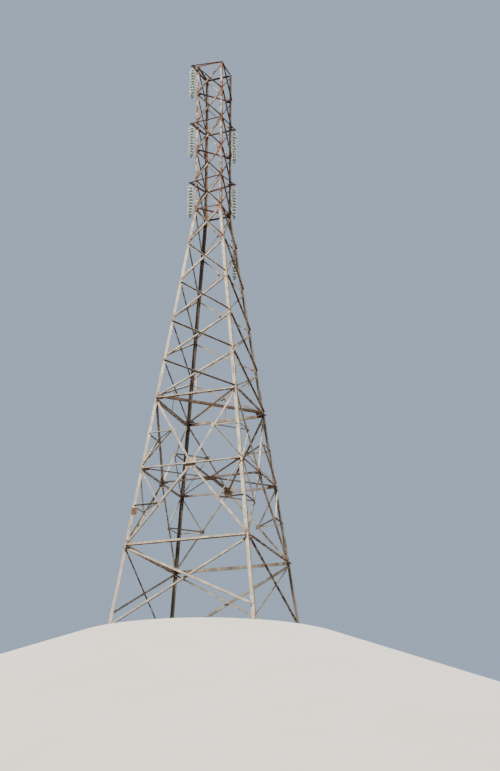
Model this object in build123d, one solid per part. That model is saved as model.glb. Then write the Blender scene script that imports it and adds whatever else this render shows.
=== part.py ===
from build123d import *
import math
import os

# Lattice transmission pylon, in millimetres, +Z up, origin on the ground under the tower's axis.
# A narrow square cage stands on a battered body. Every member is a rolled steel angle.
# The front face looks along -Y. Each face is drawn once, as the front one, and turned four times.

# Heights of the panel points, from the ground up
base_height = 3400
lower_hip_height = 3120
upper_hip_height = 3030
body_panel_heights = [1800, 1800, 1860, 1860, 1680]
cage_panel_height = 1470
cage_panels = 5

# Widths over the heels of the legs
cage_width = 1219
base_width = 5838

# Legs: one angle at each corner, in four lengths that butt with a small gap
cage_leg_width = 102
body_leg_width = 127
leg_thickness = 12
butt_gap = 4
splice_length = 400
splice_thickness = 8
cage_splice_share = 0.45
body_splice_share = 0.5
hip_splice_share = 0.55

# Bracing angles: width over the flange, and thickness
cage_brace = 55
cage_brace_thickness = 5
body_brace = 65
body_brace_thickness = 6
hip_brace = 76
hip_brace_thickness = 6
sub_brace = 50
sub_brace_thickness = 5
base_outer_brace = 95
base_inner_brace = 70
base_brace_thickness = 6
ring_bar = 60
ring_bar_thickness = 5
waist_ring_lift = 2
upper_belt_bar = 110
middle_belt_bar = 75
lower_belt_bar = 125
belt_thickness = 7
hanger_width = 45

# How far each bar's first bolt stands from the heel of the leg and from the panel point
cage_gauge = 62
body_gauge = 80
bolt_to_end = 24
cage_end_gap = 95
body_end_gap = 125
top_end_gap = 130
base_outer_foot_gap = 740
base_inner_foot_gap = 330

# Packing washer in each crossing, fused to the inner bar and just clear of the outer one
washer_radius = 24
washer_clearance = 0.3
washer_sides = 6

# Gusset plates in the face planes
middle_gusset_width = 420
middle_gusset_height = 420
quarter_gusset_width = 190
quarter_gusset_height = 180
gusset_bar_gap = 26
middle_bar_inset = 52
middle_bar_stand_off = 104

# Plan bracing: level plates welded inside the corners, with bars bolted to them
plan_plate_thickness = 8
cage_plate_reach = 190
cage_plate_tail = 100
belt_plate_reach = 330
belt_plate_tail = 170
middle_plate_width = 360
middle_plate_depth = 230
centre_plate_radius = 300
cage_plan_bar = 50
upper_plan_bar = 100
middle_plan_bar = 65
main_plan_bar = 95
thin_plan_bar = 50
plan_bar_thickness = 6
belt_plan_lap = 120
cage_plan_lap = 70
plan_clearance = 4
centre_start = 130
tie_bar = 45
tie_bar_thickness = 5
tie_landing = 85

# Arms: two bars from the tip back to the neighbouring legs, and a short strut to the near leg
arm_bar = 60
arm_bar_thickness = 6
arm_top_drop = 45
arm_tab_length = 110
arm_tip_plate = 150
arm_tip_thickness = 10
arm_tip_setback = 30
tip_lap = 8
left_reach = 210
right_reach = 150
strut_width = 50
strut_grip = 30
leg_edge_gap = 18

# How far each tip stands above the panel point that its bars start from
left_middle_rise = -160
left_bottom_rise = -220
right_top_rise = 100
right_middle_rise = 220

# The lowest right-hand bracket stands straight out of the back face, beside the leg
bracket_drop = 1100
bracket_reach = 310
bracket_inset = 125
bracket_strap_rise = 420
bracket_strap_thickness = 6

# Insulator strings
discs_per_string = 10
disc_pitch = 146
disc_radius = 127
disc_neck_radius = 50
disc_drop = 36
cap_radius = 42
cap_height = 70
pin_radius = 12
link_radius = 14
string_sides = 10
core_sides = 6
first_cap_drop = 130
clamp_drop = 130
clamp_length = 220
clamp_width = 55
clamp_height = 60

# Feet: a base plate with two upstands against the outer faces of the leg
foot_plate = 360
foot_plate_thickness = 30
foot_plate_chamfer = 30
foot_centroid_offset = 45
upstand_height = 150
upstand_width = 110
upstand_thickness = 10
anchor_spacing = 260
anchor_hole_radius = 16

# Levels worked out from the heights
level_12 = base_height
level_11 = level_12 + lower_hip_height
level_10 = level_11 + upper_hip_height
waist = level_10 + sum(body_panel_heights)
tower_height = waist + cage_panels * cage_panel_height
cage_half = cage_width / 2
base_half = base_width / 2
batter = (base_half - cage_half) / waist
slope_length = math.sqrt(1 + batter**2)

FACES = ["front", "right", "back", "left"]
CORNERS = ["front_left", "front_right", "back_right", "back_left"]


def half(z):
    """Half the width over the leg heels at height z."""
    return cage_half if z >= waist else cage_half + batter * (waist - z)


def in_cage(z):
    return z >= waist


def front_normal(z):
    """Outward normal of the front face, upright in the cage and leaning back in the body."""
    return Vector(0, -1, 0) if in_cage(z) else Vector(0, -1, batter) / slope_length


def inner_seat(z):
    """Depth of the leg flange's inner face behind the front face plane."""
    return leg_thickness if in_cage(z) else leg_thickness / slope_length


def on_front(u, z):
    """A point of the front face plane."""
    return Vector(u, -half(z), z)


def angle_bar(start, end, off, size, thickness, edge=1, cope=0):
    """A rolled angle from start to end. One flange lies on the seat and grows along off,
    and the other stands on its edge. The standing flange is cut back by cope at both ends."""
    run = end - start
    place = Plane(origin=start, x_dir=off, z_dir=run)
    side = edge * size / 2
    root = side - edge * thickness
    if cope == 0:
        outline = [(0, -side), (thickness, -side), (thickness, root), (size, root), (size, side), (0, side)]
        return extrude(place * make_face(Polyline(*outline, close=True)), amount=run.length)
    flat = extrude(place * Pos(thickness / 2, 0) * Rectangle(thickness, size), amount=run.length)
    stand = Pos(size / 2, side - edge * thickness / 2) * Rectangle(size, thickness)
    return flat + extrude(place * Pos(0, 0, cope) * stand, amount=run.length - 2 * cope)


def lengthen(start, end, extra):
    """Move both ends outwards along the bar, from its first bolt to its cut end."""
    step = (end - start).normalized() * extra
    return start - step, end + step


def outer_bar(start, end, size, thickness, edge=1):
    """A bar bolted on the outside of the leg flanges of the front face."""
    a, b = lengthen(on_front(*start), on_front(*end), bolt_to_end)
    return angle_bar(a, b, front_normal(start[1] - 1), size, thickness, edge)


def inner_bar(start, end, size, thickness, edge=1, cope=0):
    """A bar bolted on the inside of the leg flanges of the front face."""
    normal = front_normal(start[1] - 1)
    depth = normal * inner_seat(start[1] - 1)
    a, b = lengthen(on_front(*start) - depth, on_front(*end) - depth, bolt_to_end)
    return angle_bar(a, b, normal * -1, size, thickness, edge, cope)


def front_plate(points, z):
    """A plate of the leg's thickness in the face plane, drawn as (u, height above z)."""
    normal = front_normal(z - 1)
    place = Plane(origin=on_front(0, z), x_dir=(1, 0, 0), z_dir=normal)
    return extrude(place * make_face(Polyline(*points, close=True)), amount=-inner_seat(z - 1))


def turned(shape, quarter):
    return shape.rotate(Axis.Z, 90 * quarter)


def crossing(a, b, c, d):
    """Where the line a-b crosses the line c-d in the face, as (u, z)."""
    (x1, y1), (x2, y2), (x3, y3), (x4, y4) = a, b, c, d
    rise = (x2 - x1) * (y4 - y3) - (y2 - y1) * (x4 - x3)
    share = ((x3 - x1) * (y4 - y3) - (y3 - y1) * (x4 - x3)) / rise
    return x1 + share * (x2 - x1), y1 + share * (y2 - y1)


def packing_washer(u, z):
    normal = front_normal(z)
    place = Plane(origin=on_front(u, z) - normal * inner_seat(z), x_dir=(1, 0, 0), z_dir=normal)
    thickness = inner_seat(z) - washer_clearance
    return extrude(place * RegularPolygon(washer_radius, washer_sides), amount=thickness)


def cross_panel(low, high, low_gaps, high_gap, gauge, sizes, thickness, outer_edge=1):
    """The two crossing bars of one panel: the falling one outside, the rising one inside."""
    outer_low = (half(low + low_gaps[0]) - gauge, low + low_gaps[0])
    outer_high = (-(half(high - high_gap) - gauge), high - high_gap)
    inner_low = (-(half(low + low_gaps[1]) - gauge), low + low_gaps[1])
    inner_high = (-outer_high[0], outer_high[1])
    outer = outer_bar(outer_low, outer_high, sizes[0], thickness, edge=outer_edge)
    inner = inner_bar(inner_low, inner_high, sizes[1], thickness, edge=-1)
    inner += packing_washer(*crossing(outer_low, outer_high, inner_low, inner_high))
    return outer, inner


def cage_bracing():
    """Five crossed panels of the front of the cage, each fused where its bars cross."""
    panels = []
    for index in range(cage_panels):
        low = waist + index * cage_panel_height
        high_gap = top_end_gap if index == cage_panels - 1 else cage_end_gap
        outer, inner = cross_panel(low, low + cage_panel_height, (cage_end_gap, cage_end_gap), high_gap,
                                   cage_gauge, (cage_brace, cage_brace), cage_brace_thickness)
        panels += [outer, inner]
    return panels


def body_bracing():
    """Five crossed panels of the front of the body."""
    bars = []
    low = level_10
    for height in body_panel_heights:
        bars += cross_panel(low, low + height, (body_end_gap, body_end_gap), body_end_gap,
                            body_gauge, (body_brace, body_brace), body_brace_thickness)
        low += height
    return bars


def lowest_body_crossing():
    """Height of the bars' crossing in the lowest panel of the body."""
    low = level_10 + body_end_gap
    high = level_10 + body_panel_heights[0] - body_end_gap
    low_u = half(low) - body_gauge
    high_u = half(high) - body_gauge
    return crossing((-low_u, low), (high_u, high), (low_u, low), (-high_u, high))[1]


def hanger():
    """A flat bar between the two crossing bars, down to the middle of the upper belt."""
    top = lowest_body_crossing()
    foot = level_10 - upper_belt_bar / 2
    normal = front_normal(top)
    start = on_front(0, foot) - normal * (inner_seat(top) / 2)
    end = on_front(0, top - washer_radius - washer_clearance) - normal * (inner_seat(top) / 2)
    place = Plane(origin=start, x_dir=(1, 0, 0), z_dir=end - start)
    return extrude(place * Rectangle(hanger_width, inner_seat(top)), amount=(end - start).length)


def middle_bar(side, z_leg, z_middle):
    """Ends of a hip bar, from the leg to the middle gusset, as (u, z)."""
    return (side * (half(z_leg) - body_gauge), z_leg), (side * middle_bar_inset, z_middle)


def quarter_node(side, z_leg, z_middle):
    (u1, z1), (u2, z2) = middle_bar(side, z_leg, z_middle)
    return (u1 + u2) / 2, (z1 + z2) / 2


def hip_half(side, z_leg, z_middle, z_far):
    """Half of a hip panel: the long bar, its quarter gusset, and the level and sloping sub-bars
    that run from the gusset to the leg."""
    leg_end, middle_end = middle_bar(side, z_leg, z_middle)
    up = 1 if z_leg > z_middle else -1
    long_bar = inner_bar(leg_end, middle_end, hip_brace, hip_brace_thickness, edge=-side * up)
    u, z = quarter_node(side, z_leg, z_middle)
    w = quarter_gusset_width / 2
    h = quarter_gusset_height / 2
    plate = front_plate([(u - w, -h), (u + w, -h), (u + w, h), (u - w, h)], z)
    level_start = (u + side * (hip_brace / 2 + gusset_bar_gap), z)
    level_end = (side * (half(z) - body_gauge), z)
    slope_end = (side * (half(z_far) - body_gauge), z_far)
    reach = math.hypot(slope_end[0] - u, slope_end[1] - z)
    skip = sub_brace + gusset_bar_gap
    slope_start = (u + (slope_end[0] - u) * skip / reach, z + (slope_end[1] - z) * skip / reach)
    level_bar = outer_bar(level_start, level_end, sub_brace, sub_brace_thickness, edge=side * up)
    slope_bar = outer_bar(slope_start, slope_end, sub_brace, sub_brace_thickness, edge=-side * up)
    return long_bar + plate + level_bar + slope_bar


def hip_bracing():
    """The V over the middle belt and the inverted V under it, as four halves."""
    halves = []
    for side in (-1, 1):
        halves.append(hip_half(side, level_10 - body_end_gap, level_11 + middle_bar_stand_off,
                               level_11 + body_end_gap))
        halves.append(hip_half(side, level_12 + body_end_gap, level_11 - middle_bar_stand_off,
                               level_11 - body_end_gap))
    return halves


def base_bracing():
    """The two long bars that cross between the lower belt and the feet."""
    return cross_panel(0, level_12, (base_outer_foot_gap, base_inner_foot_gap), body_end_gap,
                       body_gauge, (base_outer_brace, base_inner_brace), base_brace_thickness, outer_edge=-1)


def belt(z, size, gusset):
    """Four level bars outside the legs. The middle belt carries a gusset on each face."""
    bars = []
    u = half(z) - body_gauge
    for quarter in range(4):
        bar = outer_bar((-u, z), (u, z), size, belt_thickness)
        if gusset:
            w = middle_gusset_width / 2
            h = middle_gusset_height / 2
            bar += front_plate([(-w, -h), (w, -h), (w, h), (-w, h)], z)
        bars.append(turned(bar, quarter))
    return bars


def cage_rings():
    """Level bars inside the legs at the top and at the waist."""
    bars = []
    for z in (tower_height - arm_top_drop, waist + waist_ring_lift):
        u = cage_half - cage_gauge
        for quarter in range(4):
            bar = inner_bar((-u, z), (u, z), ring_bar, ring_bar_thickness, cope=ring_bar)
            bars.append(turned(bar, quarter))
    return bars


def heel_outline(z, width, thickness, outside=0):
    """The level section of the front-left leg at height z, or of a cover outside it."""
    h = half(z) + outside
    w = width + outside
    t = thickness
    return [(-h, -h, z), (-h + w, -h, z), (-h + w, -h + t, z), (-h + t, -h + t, z), (-h + t, -h + w, z),
            (-h, -h + w, z)]


def leg_run(z_low, z_high):
    """The leg's path between two heights, as one vector. It follows the batter below the waist."""
    lean = half(z_low) - half(z_high)
    return Vector(lean, lean, z_high - z_low)


def slanted(outline, run):
    """Extrude a level outline along a slanted run, so that both ends stay level."""
    return extrude(make_face(Polyline(*outline, close=True)), amount=run.length, dir=run.normalized())


def splice_heights():
    """Middles of the three splices: in the lowest cage panel, the body and the lower hip."""
    return [waist + cage_splice_share * cage_panel_height,
            level_10 + body_splice_share * body_panel_heights[0],
            level_12 + hip_splice_share * lower_hip_height / 2]


def leg():
    """The front-left leg in four lengths. The second one bends at the waist."""
    cage_joint, body_joint, hip_joint = splice_heights()
    gap = butt_gap / 2
    top = slanted(heel_outline(cage_joint + gap, cage_leg_width, leg_thickness),
                  leg_run(cage_joint + gap, tower_height))
    bend = slanted(heel_outline(waist, body_leg_width, leg_thickness), leg_run(waist, cage_joint - gap))
    bend += slanted(heel_outline(body_joint + gap, body_leg_width, leg_thickness),
                    leg_run(body_joint + gap, waist))
    middle = slanted(heel_outline(hip_joint + gap, body_leg_width, leg_thickness),
                     leg_run(hip_joint + gap, body_joint - gap))
    foot = slanted(heel_outline(foot_plate_thickness, body_leg_width, leg_thickness),
                   leg_run(foot_plate_thickness, hip_joint - gap))
    return [top, bend, middle, foot]


def splice_covers():
    """An angle cover outside each butt of the front-left leg."""
    covers = []
    widths = [cage_leg_width, body_leg_width, body_leg_width]
    for z, width in zip(splice_heights(), widths):
        low = z - splice_length / 2
        covers.append(slanted(heel_outline(low, width, splice_thickness, splice_thickness),
                              leg_run(low, z + splice_length / 2)))
    return covers


def foot_shoe():
    """Base plate of the front-left leg with four anchor holes and two welded upstands."""
    top = foot_plate_thickness
    h = half(top)
    centre = -h + foot_centroid_offset
    plate = Pos(centre, centre, top / 2) * Box(foot_plate, foot_plate, top)
    plate = chamfer(plate.edges().filter_by(Axis.Z), foot_plate_chamfer)
    for dx in (-anchor_spacing / 2, anchor_spacing / 2):
        for dy in (-anchor_spacing / 2, anchor_spacing / 2):
            plate -= Pos(centre + dx, centre + dy, top / 2) * Cylinder(anchor_hole_radius, top * 2)
    inside = -h + upstand_width
    outside = -h - upstand_thickness
    upstand = [(-h, -h, top), (inside, -h, top), (inside, outside, top), (outside, outside, top),
               (outside, inside, top), (-h, inside, top)]
    return plate + slanted(upstand, leg_run(top, top + upstand_height))


def corner_plate(z, reach, tail):
    """A level plate inside the front-left leg, with its edges on the leg's flanges."""
    c = -half(z) + leg_thickness
    outline = [(c, c, z), (c + reach, c, z), (c + reach, c + tail, z), (c + tail, c + reach, z),
               (c, c + reach, z)]
    return slanted(outline, leg_run(z, z + plan_plate_thickness))


def middle_plate(z):
    """A level plate behind the gusset in the middle of the front belt."""
    y = -half(z) + leg_thickness
    w = middle_plate_width / 2
    d = middle_plate_depth
    outline = [(-w, y, z), (w, y, z), (w / 2, y + d, z), (-w / 2, y + d, z)]
    lean = batter * plan_plate_thickness
    return slanted(outline, Vector(0, lean, plan_plate_thickness))


def centre_plate(z):
    outline = Pos(0, 0, z) * RegularPolygon(centre_plate_radius, 8, rotation=22.5)
    return extrude(outline, amount=plan_plate_thickness)


def cage_plan_levels():
    """The levels of the cage that have a bar from the left corner to the right one."""
    low = waist + ring_bar / 2 + plan_clearance
    return [low] + [waist + level * cage_panel_height for level in (2, 4)]


def upper_plan_level():
    return level_10 + upper_belt_bar / 2 + plan_clearance


def middle_plan_level():
    return level_11 - plan_plate_thickness / 2


def plan_plates():
    plates = []
    for z in cage_plan_levels():
        for quarter in (0, 2):
            plates.append(turned(corner_plate(z, cage_plate_reach, cage_plate_tail), quarter))
    for z in (upper_plan_level(), middle_plan_level()):
        for quarter in range(4):
            plates.append(turned(corner_plate(z, belt_plate_reach, belt_plate_tail), quarter))
    for quarter in range(4):
        plates.append(turned(middle_plate(middle_plan_level()), quarter))
    plates.append(centre_plate(middle_plan_level()))
    return plates


def diagonal_end(z, reach, tail, lap):
    """Distance from the axis, along the diagonal, where a bar's end lies on its corner plate."""
    inner_corner = (half(z) - leg_thickness) * math.sqrt(2)
    return inner_corner - (reach + tail) / math.sqrt(2) + lap


def plan_bar(angle, inner, outer, z, up, size):
    """A level bar along a ray from the axis, on top of its plates or under them."""
    ray = Vector(math.cos(math.radians(angle)), math.sin(math.radians(angle)), 0)
    seat = Vector(0, 0, z + (plan_plate_thickness if up > 0 else 0))
    return angle_bar(ray * inner + seat, ray * outer + seat, Vector(0, 0, up), size, plan_bar_thickness)


def plan_bars():
    bars = []
    for z in cage_plan_levels():
        end = diagonal_end(z, cage_plate_reach, cage_plate_tail, cage_plan_lap)
        bars.append(plan_bar(45, -end, end, z, 1, cage_plan_bar))
    z = upper_plan_level()
    end = diagonal_end(z, belt_plate_reach, belt_plate_tail, belt_plan_lap)
    bars.append(plan_bar(45, -end, end, z, 1, upper_plan_bar))
    bars.append(plan_bar(135, -end, end, z, -1, upper_plan_bar))
    z = middle_plan_level()
    corner_end = diagonal_end(z, belt_plate_reach, belt_plate_tail, belt_plan_lap)
    middle_end = half(z) - leg_thickness - middle_plate_depth + belt_plan_lap
    for quarter in range(4):
        size = main_plan_bar if quarter in (1, 3) else middle_plan_bar
        bars.append(plan_bar(90 * quarter + 45, centre_start, corner_end, z, 1, thin_plan_bar))
        bars.append(plan_bar(90 * quarter, centre_start, middle_end, z, 1, size))
    return bars


def corner_tie(z_leg, z_middle):
    """A level bar that closes the triangle between two neighbouring quarter gussets."""
    u, z = quarter_node(-1, z_leg, z_middle)
    landing = u - tie_landing
    start = Vector(landing, -half(z), z)
    end = Vector(-half(z), landing, z)
    start, end = lengthen(start, end, tie_bar)
    bar = angle_bar(start, end, Vector(0, 0, 1), tie_bar, tie_bar_thickness)
    front = Plane(origin=on_front(0, z) - front_normal(z) * inner_seat(z), z_dir=front_normal(z))
    left_normal = Vector(front_normal(z).Y, 0, front_normal(z).Z)
    left = Plane(origin=Vector(-half(z), 0, z) - left_normal * inner_seat(z), z_dir=left_normal)
    bar = split(bar, bisect_by=front, keep=Keep.BOTTOM)
    return split(bar, bisect_by=left, keep=Keep.BOTTOM)


def corner_ties():
    ties = []
    for quarter in range(4):
        ties.append(turned(corner_tie(level_10 - body_end_gap, level_11 + middle_bar_stand_off), quarter))
        ties.append(turned(corner_tie(level_12 + body_end_gap, level_11 - middle_bar_stand_off), quarter))
    return ties


def face_tab(far, z):
    """A flat tab on the outside of the far leg of the front face."""
    h = half(z)
    place = Plane(origin=(far - arm_tab_length / 2, -h, z), x_dir=(1, 0, 0), z_dir=front_normal(z))
    return extrude(place * Rectangle(arm_tab_length, arm_bar), amount=arm_bar_thickness)


def outrigger(tip, far, z):
    """A bar from a tab on the far leg of the front face to the tip, which stands out in front."""
    start = Vector(far - arm_tab_length + arm_bar_thickness, -half(z - arm_bar / 2) - washer_clearance, z)
    run = (tip - start) * (1 - arm_tip_setback / (tip - start).length)
    off = Vector(0, 0, 1).cross(run).normalized()
    if off.Y > 0:
        off = off * -1
    return face_tab(far, z) + angle_bar(start, start + run, off, arm_bar, arm_bar_thickness, edge=-1)


def tip_plate(tip):
    """The level plate that the outriggers land on and the string hangs from."""
    place = Pos(tip.X, tip.Y, tip.Z - arm_bar / 2 - arm_tip_thickness / 2 + tip_lap)
    return place * (Rot(0, 0, 45) * Box(arm_tip_plate, arm_tip_plate, arm_tip_thickness))


def corner_arm(z, rise, reach):
    """An arm on the front-left leg: two outriggers from its neighbours and a short strut."""
    out = cage_half + reach / math.sqrt(2)
    tip = Vector(-out, -out, z + rise)
    front = outrigger(tip, cage_half - leg_edge_gap, z)
    side = mirror(front, about=Plane(origin=(0, 0, 0), z_dir=(1, -1, 0)))
    middle = -(out + cage_half) / 2 + strut_grip / 2
    place = Pos(middle, middle, tip.Z - arm_bar / 2 - arm_tip_thickness / 2 + tip_lap) * Rot(0, 0, 45)
    strut = place * Box((out - cage_half) * math.sqrt(2) + strut_grip * math.sqrt(2), strut_width,
                        arm_tip_thickness)
    room = Pos(0, 0, tip.Z - arm_bar / 2) * Box(cage_width, cage_width, arm_bar)
    return front + side + tip_plate(tip) + (strut - room)


def bracket_tip():
    z = waist - bracket_drop
    return Vector(half(z) - bracket_inset, half(z) + bracket_reach, z)


def bracket():
    """The lowest right-hand arm, drawn on the front face and turned to the back one: a strut
    straight out of the leg, and a strap down to its tip from a tab higher on the leg."""
    z = bracket_tip().Z
    tip = Vector(-bracket_tip().X, -bracket_tip().Y, z)
    level = z - arm_bar / 2 + tip_lap
    root = Vector(tip.X, -half(z - arm_bar / 2) - washer_clearance, level)
    strut = angle_bar(root, Vector(tip.X, tip.Y, level), Vector(0, 0, 1), strut_width, arm_bar_thickness)
    high = z + bracket_strap_rise
    tabs = []
    for height in (z, high):
        place = Plane(origin=on_front(tip.X, height), x_dir=(1, 0, 0), z_dir=front_normal(height))
        tabs.append(extrude(place * Rectangle(arm_tab_length, arm_bar), amount=arm_bar_thickness))
    start = on_front(tip.X, high) + front_normal(high) * (arm_bar_thickness / 2)
    run = tip - Vector(0, 0, arm_bar / 2) - start
    place = Plane(origin=start, x_dir=(1, 0, 0), z_dir=run)
    strap = extrude(place * Rectangle(strut_width, bracket_strap_thickness), amount=run.length)
    strap = split(strap, bisect_by=Plane(origin=start, z_dir=front_normal(high)), keep=Keep.TOP)
    return [turned(strap + strut + tabs[0] + tabs[1] + tip_plate(tip), 2)]


# Name, side, panel points down from the top, and height of the tip over that point
ARMS = [("left_top", "left", 0, 0), ("left_middle", "left", 2, left_middle_rise),
        ("left_bottom", "left", 4, left_bottom_rise), ("right_top", "right", 2, right_top_rise),
        ("right_middle", "right", 4, right_middle_rise)]


def insulator_string(top):
    """One string round the axis, from the top of its first cap down: caps, glass bells and pins."""
    bell_outline = RegularPolygon(disc_radius, string_sides)
    slope = math.degrees(math.atan2(disc_radius - disc_neck_radius, disc_drop))
    pin_outline = RegularPolygon(pin_radius, core_sides)
    cap_outline = RegularPolygon(cap_radius, core_sides)
    string = extrude(Pos(0, 0, string_foot(top)) * pin_outline, amount=top - string_foot(top))
    for index in range(discs_per_string):
        z = top - cap_height - index * disc_pitch
        string += extrude(Pos(0, 0, z) * cap_outline, amount=cap_height)
        string += extrude(Pos(0, 0, z - disc_drop) * bell_outline, amount=disc_drop, taper=slope)
    return string


def string_foot(top):
    return top - (discs_per_string - 1) * disc_pitch - cap_height - clamp_drop


def string_link(tip_z, top):
    """The link between the arm's tip plate and the first cap."""
    return extrude(Pos(0, 0, top) * RegularPolygon(link_radius, core_sides), amount=tip_z - top)


def clamp(foot):
    """The boat-shaped clamp that hangs under the last pin, open to a cable along its length."""
    a = clamp_length / 2
    b = clamp_length / 4
    low = -clamp_height
    outline = [(-b, 0), (b, 0), (a, low / 3), (b, low), (-b, low), (-a, low / 3)]
    place = Plane(origin=(0, 0, foot), x_dir=(-1, 1, 0), z_dir=(1, 1, 0))
    return extrude(place * make_face(Polyline(*outline, close=True)), amount=clamp_width / 2, both=True)


def write(name, solids):
    os.makedirs("parts", exist_ok=True)
    export_step(Compound(children=list(solids)), os.path.join("parts", name + ".step"))


def build():
    leg_parts = leg()
    cage_parts = cage_bracing()
    body_parts = body_bracing()
    hip_parts = hip_bracing()
    base_parts = base_bracing()
    shoe = foot_shoe()
    covers = splice_covers()
    for quarter in range(4):
        write("foot_" + CORNERS[quarter], [turned(shoe, quarter)])
        write("leg_" + CORNERS[quarter], [turned(part, quarter) for part in leg_parts])
        write("cage_bracing_" + FACES[quarter], [turned(part, quarter) for part in cage_parts])
        write("body_bracing_" + FACES[quarter], [turned(part, quarter) for part in body_parts])
        write("hip_bracing_" + FACES[quarter], [turned(part, quarter) for part in hip_parts])
        write("base_bracing_" + FACES[quarter], [turned(part, quarter) for part in base_parts])
    write("leg_splices", [turned(cover, quarter) for cover in covers for quarter in range(4)])
    write("hanger_bars", [turned(hanger(), quarter) for quarter in range(4)])
    write("cage_rings", cage_rings())
    write("belt_upper", belt(level_10, upper_belt_bar, False))
    write("belt_middle", belt(level_11, middle_belt_bar, True))
    write("belt_lower", belt(level_12, lower_belt_bar, False))
    write("plan_plates", plan_plates())
    write("plan_bars", plan_bars() + corner_ties())
    tips = {}
    for name, side, level, rise in ARMS:
        z = tower_height - max(level * cage_panel_height, arm_top_drop)
        reach = left_reach if side == "left" else right_reach
        write("arm_" + name, [turned(corner_arm(z, rise, reach), 0 if side == "left" else 2)])
        out = (cage_half + reach / math.sqrt(2)) * (-1 if side == "left" else 1)
        tips[name] = Vector(out, out, z + rise)
    write("arm_right_bottom", bracket())
    tips["right_bottom"] = bracket_tip()
    fittings = []
    for name, tip in tips.items():
        tip_z = tip.Z - arm_bar / 2 - arm_tip_thickness + tip_lap
        top = tip_z - first_cap_drop
        place = Pos(tip.X, tip.Y, 0)
        write("glass_string_" + name, [place * insulator_string(top)])
        fittings += [place * string_link(tip_z, top), place * clamp(string_foot(top))]
    write("string_fittings", fittings)


build()
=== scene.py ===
"""Lattice transmission pylon: finishes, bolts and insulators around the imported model. Metres, +Z up."""
import math
import random

import bmesh
import bpy
from mathutils import Matrix, Vector
from mathutils.bvhtree import BVHTree


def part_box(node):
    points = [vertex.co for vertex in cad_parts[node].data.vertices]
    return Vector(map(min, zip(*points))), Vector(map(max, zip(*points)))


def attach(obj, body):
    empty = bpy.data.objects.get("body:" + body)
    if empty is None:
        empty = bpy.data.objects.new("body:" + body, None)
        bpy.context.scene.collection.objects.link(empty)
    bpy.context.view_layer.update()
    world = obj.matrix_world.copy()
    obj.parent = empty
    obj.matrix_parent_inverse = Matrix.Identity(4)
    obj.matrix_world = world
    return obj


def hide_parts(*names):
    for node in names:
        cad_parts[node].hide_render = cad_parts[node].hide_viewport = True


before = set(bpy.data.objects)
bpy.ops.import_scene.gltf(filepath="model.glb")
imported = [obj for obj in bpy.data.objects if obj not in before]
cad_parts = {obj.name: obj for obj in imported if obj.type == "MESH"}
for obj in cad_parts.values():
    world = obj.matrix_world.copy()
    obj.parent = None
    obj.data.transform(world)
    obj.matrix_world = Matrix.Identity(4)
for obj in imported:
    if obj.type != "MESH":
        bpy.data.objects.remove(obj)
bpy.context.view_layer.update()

# Levels and widths of the tower, as in the part's source
BASE_HEIGHT = 3.4
LOWER_HIP = 3.12
UPPER_HIP = 3.03
BODY_PANELS = [1.8, 1.8, 1.86, 1.86, 1.68]
CAGE_PANEL = 1.47
CAGE_PANELS = 5
LOWER_BELT = BASE_HEIGHT
MIDDLE_BELT = LOWER_BELT + LOWER_HIP
UPPER_BELT = MIDDLE_BELT + UPPER_HIP
WAIST = UPPER_BELT + sum(BODY_PANELS)
TOWER = WAIST + CAGE_PANELS * CAGE_PANEL
CAGE_HALF = 0.6095
BASE_HALF = 2.919
BATTER = (BASE_HALF - CAGE_HALF) / WAIST
SLOPE = math.sqrt(1 + BATTER**2)
QUARTERS = [Matrix.Rotation(math.radians(90 * turn), 4, "Z") for turn in range(4)]

# Where the bars are bolted: gauges run in from the leg's heel, gaps up or down from a level
CAGE_GAUGE = 0.062
BODY_GAUGE = 0.08
CAGE_GAP = 0.095
BODY_GAP = 0.125
TOP_GAP = 0.13
BASE_RISING_GAP = 0.33
BASE_FALLING_GAP = 0.74
RING_DROP = 0.045
WAIST_RING_LIFT = 0.002
MIDDLE_INSET = 0.052
MIDDLE_STAND_OFF = 0.104
LEG_THICKNESS = 0.012
BOLT_PITCH = 0.045

random.seed(7)


def half(z):
    """Half the width over the leg heels at height z."""
    return CAGE_HALF if z >= WAIST else CAGE_HALF + BATTER * (WAIST - z)


def face_normal(z):
    """The outward direction of the front face: level in the cage, tipped up below it."""
    return Vector((0, -1, 0)) if z >= WAIST else Vector((0, -1, BATTER)) / SLOPE


def on_face(u, z):
    """A point of the front face plane."""
    return Vector((u, -half(z), z))


# Materials

def linear(code):
    """A hex colour as linear red, green, blue and alpha."""
    values = [int(code[i:i + 2], 16) / 255 for i in (1, 3, 5)]
    return [v / 12.92 if v <= 0.04045 else ((v + 0.055) / 1.055) ** 2.4 for v in values] + [1]


def add(tree, kind, settings, inputs):
    """Adds a node with its settings, and gives each input a value or a link."""
    node = tree.nodes.new(kind)
    for name, value in settings.items():
        setattr(node, name, value)
    for name, value in inputs.items():
        if isinstance(value, bpy.types.NodeSocket):
            tree.links.new(value, node.inputs[name])
        else:
            node.inputs[name].default_value = value
    return node


def new_material(name):
    """A material with its node tree and its shader."""
    material = bpy.data.materials.new(name)
    material.use_nodes = True
    return material, material.node_tree, material.node_tree.nodes["Principled BSDF"]


def spots(tree, place, size, low, high, detail=4.0, stretch=(1, 1, 1), lift=0.0):
    """Noise with blobs of about size metres, raised by lift, then 0 below low and 1 above high."""
    scale = [1 / (size * s) for s in stretch]
    spread = add(tree, "ShaderNodeMapping", {}, {"Vector": place, "Scale": scale}).outputs[0]
    noise = add(tree, "ShaderNodeTexNoise", {},
                {"Vector": spread, "Scale": 1.0, "Detail": detail, "Roughness": 0.6, "Distortion": 0.4})
    raised = add(tree, "ShaderNodeMath", {"operation": "ADD"}, {0: noise.outputs[0], 1: lift})
    return add(tree, "ShaderNodeMapRange", {"interpolation_type": "SMOOTHSTEP"},
               {"Value": raised.outputs[0], "From Min": low, "From Max": high}).outputs[0]


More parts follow.
